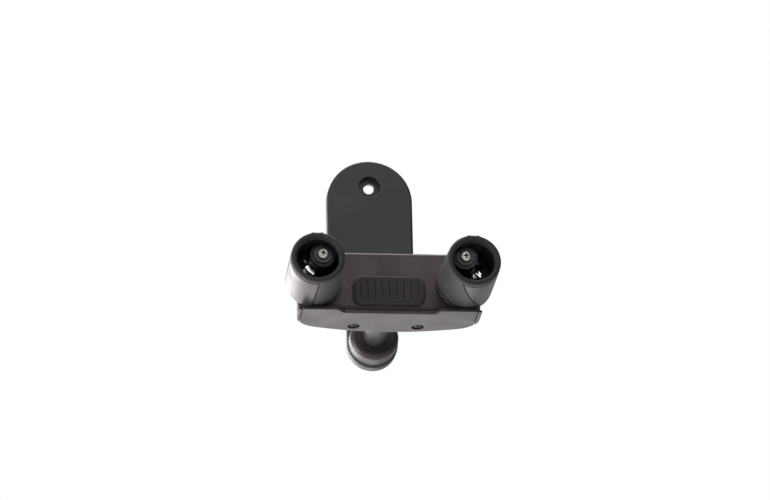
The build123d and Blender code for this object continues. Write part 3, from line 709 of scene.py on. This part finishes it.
def shell_plastic():
    """The shells: the same plastic with fine turned lines round the post."""
    s = Surface("shell_plastic", Specular_IOR_Level=0.7, Specular_Tint=WARM)
    s.sheen(0.15, 0.4)
    cloud = s.noise(110, 4, 0.6)
    grain = s.noise(4800, 2, 0.6)
    lines = s.rings(95, 0.35)
    fine_lines = s.rings(330, 1.2)
    scuff = s.range(s.noise(60, 5, 0.7, s.stretched(1, 7, 1)), 0.55, 0.75, 0, 1)
    body = s.colours(s.range(cloud, 0.3, 0.7, 0, 1), (0.019, 0.0165, 0.017), (0.026, 0.023, 0.0235))
    s.to("Base Color", s.colours(scuff, body, (0.040, 0.037, 0.040)))
    s.roughness(s.range(cloud, 0.3, 0.7, 0.33, 0.43), s.range(lines, 0.2, 0.8, -0.01, 0.015))
    s.bumps((lines, 0.00002, 0.05), (fine_lines, 0.00002, 0.08), (grain, 0.00002, 0.4))
    return s.material


def soft_rubber(name, tone, sheen):
    """Matte synthetic rubber: soft mottling, a pebbled skin, a little dust."""
    s = Surface(name, Specular_IOR_Level=0.5, Specular_Tint=WARM)
    s.sheen(sheen, 0.55)
    cloud = s.noise(140, 5, 0.65)
    skin = s.cells(3200)
    fine = s.noise(6500, 2, 0.6)
    dust = s.range(s.noise(700, 6, 0.75), 0.58, 0.74, 0, 0.5)
    body = s.colours(s.range(cloud, 0.3, 0.7, 0, 1), tone, tuple(c * 1.4 for c in tone))
    s.to("Base Color", s.colours(dust, body, tuple(c * 2.3 + 0.004 for c in tone)))
    s.roughness(s.range(cloud, 0.3, 0.7, 0.50, 0.62), s.range(fine, 0.3, 0.7, -0.04, 0.06))
    s.bumps((cloud, 0.0003, 0.12), (skin, 0.00003, 0.3), (fine, 0.00002, 0.4))
    return s.material


def nylon():
    """Smooth dark nylon of the inner parts, with a trace of grease."""
    s = Surface("nylon", Specular_IOR_Level=0.5)
    cloud = s.noise(160, 4, 0.6)
    fine = s.noise(5200, 2, 0.6)
    edge, rounded = s.edges(0.0004)
    grease = s.range(s.noise(230, 4, 0.6), 0.52, 0.66, 0, 1)
    body = s.colours(s.range(cloud, 0.3, 0.7, 0, 1), (0.011, 0.011, 0.013), (0.018, 0.018, 0.021))
    s.to("Base Color", s.colours(edge, body, (0.035, 0.034, 0.036)))
    s.roughness(s.range(cloud, 0.3, 0.7, 0.46, 0.58), s.range(grease, 0, 1, 0, -0.14))
    s.bumps((fine, 0.00002, 0.4), (cloud, 0.0003, 0.08), base=rounded)
    return s.material


def coated_steel(name, tone):
    """Powder-coated steel: orange peel, tiny pits, and bare metal where the edges are rubbed."""
    s = Surface(name, Specular_IOR_Level=0.55, Coat_Weight=0.12, Coat_Roughness=0.3)
    peel = s.cells(1300)
    soft = s.noise(900, 3, 0.5)
    cloud = s.noise(35, 4, 0.6)
    edge, rounded = s.edges(0.0006)
    rubbed = s.sums("MULTIPLY", edge, s.range(s.noise(300, 5, 0.75), 0.5, 0.66, 0.0, 1.0))
    body = s.colours(s.range(cloud, 0.3, 0.7, 0, 1), tone, tuple(c * 1.3 for c in tone))
    s.to("Base Color", s.colours(rubbed, body, (0.30, 0.29, 0.28)))
    s.to("Metallic", s.range(rubbed, 0.4, 0.8, 0.0, 1.0))
    s.to("Roughness", s.range(cloud, 0.3, 0.7, 0.42, 0.55))
    s.bumps((peel, 0.00012, 0.28), (soft, 0.0001, 0.3), base=rounded)
    return s.material


def in_recess(s):
    """1 deep in the cross recesses of the pivot screws, and 0 on their heads: the mask for the shade painted
    into the recesses.
    """
    across, along, up = s.yoke_place()
    off_axis = s.sums("SUBTRACT", s.sums("ABSOLUTE", across, 0), PIVOT_X * MM)
    high = s.sums("SUBTRACT", up, PIVOT_Z * MM)
    radius = s.sums("SQRT", s.sums("ADD", s.sums("POWER", off_axis, 2), s.sums("POWER", high, 2)), 0)
    near = s.range(radius, SCREW_R * 0.60 * MM, SCREW_R * 0.66 * MM, 1, 0)
    top = SCREW_SEAT - SCREW_HEIGHT
    return s.sums("MULTIPLY", near, s.range(along, (top + 0.25) * MM, (top + 0.6) * MM, 0, 1))


def behind_heads(s):
    """1 on the shanks of the stops, and 0 on their heads: the mask for the shade painted on the shanks."""
    _, along, _ = s.yoke_place()
    return s.range(along, (STOP_HEAD_BACK - 0.2) * MM, (STOP_HEAD_BACK + 0.2) * MM, 0, 1)


def bright_steel(name, tone, rough_low, rough_high, stretch=(1, 1, 1), painted_shade_mask=None):
    """Bare or plated steel with fine scratches, stretched along the way it was worked, and with a painted
    shade, dark and not metallic, where the given mask is 1."""
    s = Surface(name, Metallic=1.0)
    scratch = s.noise(2400, 3, 0.6, s.stretched(*stretch))
    cloud = s.noise(320, 4, 0.6)
    edge, rounded = s.edges(0.0003)
    body = s.colours(s.range(cloud, 0.3, 0.7, 0, 1), tone, tuple(c * 0.82 for c in tone))
    body = s.colours(edge, body, tuple(min(1, c * 1.15) for c in tone))
    # painted shade: a near-black, non-metallic tone where the mask is 1
    if painted_shade_mask:
        shade_share = painted_shade_mask(s)
        body = s.colours(shade_share, body, PAINTED_SHADE_TONE)
        s.to("Metallic", s.range(shade_share, 0, 1, 1, 0))
    s.to("Base Color", body)
    s.to("Roughness", s.range(scratch, 0.3, 0.7, rough_low, rough_high))
    s.bumps((scratch, 0.00002, 0.25), (cloud, 0.0001, 0.1), base=rounded)
    return s.material


def dress_nodes(materials):
    """Gives each CAD node its own material, or else the one of the record's slot."""
    for subpart in frame["record"]["subparts"]:
        for holder in frame["nodes"][subpart["node"]].material_slots:
            holder.material = materials.get(subpart["node"]) or materials[subpart["material_slot"]]


# ---- the studio ------------------------------------------------------------------------------------------
def camera():
    """The photographer's place: below the hanger and a little to its left, with a long lens."""
    azimuth, elevation = math.radians(CAMERA_AZIMUTH), math.radians(CAMERA_ELEVATION)
    ahead = Vector((
        -math.sin(azimuth) * math.cos(elevation),
        math.cos(azimuth) * math.cos(elevation),
        -math.sin(elevation),
    ))
    right = Vector((math.cos(azimuth), math.sin(azimuth), 0))
    up = right.cross(ahead)
    point = Vector(VIEW_POINT)
    place = point - ahead * CAMERA_DISTANCE
    aim = point + right * AIM_ACROSS + up * AIM_UP
    ahead = (aim - place).normalized()
    right = ahead.cross(Vector((0, 0, 1))).normalized()
    up = right.cross(ahead)
    roll = math.radians(CAMERA_ROLL)
    across = right * math.cos(roll) + up * math.sin(roll)
    above = up * math.cos(roll) - right * math.sin(roll)
    data = bpy.data.cameras.new("camera")
    data.sensor_width = 36.0
    data.lens = CAMERA_LENS
    data.clip_start, data.clip_end = 0.01, 50.0
    item = bpy.data.objects.new("camera", data)
    bpy.context.scene.collection.objects.link(item)
    turn = Matrix((across, above, -ahead)).transposed().to_4x4()
    item.matrix_world = Matrix.Translation(place * MM) @ turn
    bpy.context.scene.camera = item


def softbox(name, place, size, power):
    """A square area light aimed at the yoke."""
    data = bpy.data.lights.new(name, "AREA")
    data.shape = "SQUARE"
    data.size = size
    data.energy = power
    item = bpy.data.objects.new(name, data)
    bpy.context.scene.collection.objects.link(item)
    item.location = place
    target = Vector(VIEW_POINT) * MM
    item.rotation_euler = (target - Vector(place)).to_track_quat("-Z", "Y").to_euler()
    item.visible_camera = False


def studio():
    """A pale floor, the white backdrop and the softboxes."""
    mesh = bpy.data.meshes.new("floor")
    corners = ((-1, -1), (1, -1), (1, 1), (-1, 1))
    mesh.from_pydata([(FLOOR_HALF * x, FLOOR_HALF * y, FLOOR_Z) for x, y in corners], [], [(0, 1, 2, 3)])
    floor = bpy.data.objects.new("floor", mesh)
    bpy.context.scene.collection.objects.link(floor)
    s = Surface("floor_paint", Roughness=0.75)
    s.to("Base Color", s.colours(s.noise(3, 4), (0.80, 0.80, 0.79), (0.84, 0.84, 0.83)))
    mesh.materials.append(s.material)

    studio_world()
    for name, (place, size, power) in SOFTBOXES.items():
        softbox(name, place, size, power)
    bpy.context.scene.view_settings.view_transform = "Standard"


def studio_world():
    """A white backdrop; its light comes mostly from the left and behind, and little from the front."""
    world = bpy.data.worlds.new("studio")
    bpy.context.scene.world = world
    world.use_nodes = True
    nodes, links = world.node_tree.nodes, world.node_tree.links
    nodes.clear()
    out = nodes.new("ShaderNodeOutputWorld")
    light = nodes.new("ShaderNodeBackground")
    backdrop = nodes.new("ShaderNodeBackground")
    backdrop.inputs["Color"].default_value = (1, 1, 1, 1)
    direction = nodes.new("ShaderNodeTexCoord").outputs["Generated"]
    lean = nodes.new("ShaderNodeVectorMath")
    lean.operation = "DOT_PRODUCT"
    lean.inputs[1].default_value = LIGHT_LEAN
    links.new(direction, lean.inputs[0])
    strength = map_range(nodes, -0.7, 0.8, DARK_SIDE, BRIGHT_SIDE)
    links.new(lean.outputs["Value"], strength.inputs["Value"])
    links.new(strength.outputs[0], light.inputs["Strength"])
    seen = nodes.new("ShaderNodeLightPath").outputs["Is Camera Ray"]
    mix = nodes.new("ShaderNodeMixShader")
    links.new(seen, mix.inputs[0])
    links.new(light.outputs[0], mix.inputs[1])
    links.new(backdrop.outputs[0], mix.inputs[2])
    links.new(mix.outputs[0], out.inputs[0])


# ---- putting it together ---------------------------------------------------------------------------------
camera()
studio()

materials = {
    "plate_steel": coated_steel("plate_steel", (0.018, 0.018, 0.019)),
    "arm_steel": coated_steel("arm_steel", (0.022, 0.022, 0.023)),
    "hard_plastic": hard_plastic("hard_plastic", BLACK, WORN_BLACK),
    "shell_plastic": shell_plastic(),
    "soft_rubber": soft_rubber("soft_rubber", (0.011, 0.011, 0.012), 0.10),
    "rim_rubber": soft_rubber("rim_rubber", (0.009, 0.009, 0.010), 0.06),
    "nylon": nylon(),
    "black_washer": coated_steel("black_washer", (0.015, 0.015, 0.016)),
    # the pivot screws and the stops carry painted shade, in the cross recesses and on the shanks
    "screw_steel": bright_steel("screw_steel", (0.88, 0.85, 0.81), 0.26, 0.42, painted_shade_mask=in_recess),
    "plain_steel": bright_steel("plain_steel", (0.78, 0.78, 0.78), 0.18, 0.34, (1, 0.12, 1)),
    "stop_pins": bright_steel("stop_steel", (0.90, 0.90, 0.91), 0.18, 0.34, painted_shade_mask=behind_heads),
    "black_screws": bright_steel("black_screws", (0.055, 0.053, 0.055), 0.3, 0.5),
}
dress_nodes(materials)

for side, flip, seam in SIDES:
    gate_rubber(side, flip, seam, materials["soft_rubber"])
    gate_shell(side, flip, seam, materials["shell_plastic"])
    return_spring(side, flip, materials["plain_steel"])
pivot_screws(materials["screw_steel"])
neck_pad(materials["soft_rubber"])
cover_with_lip(materials["hard_plastic"])
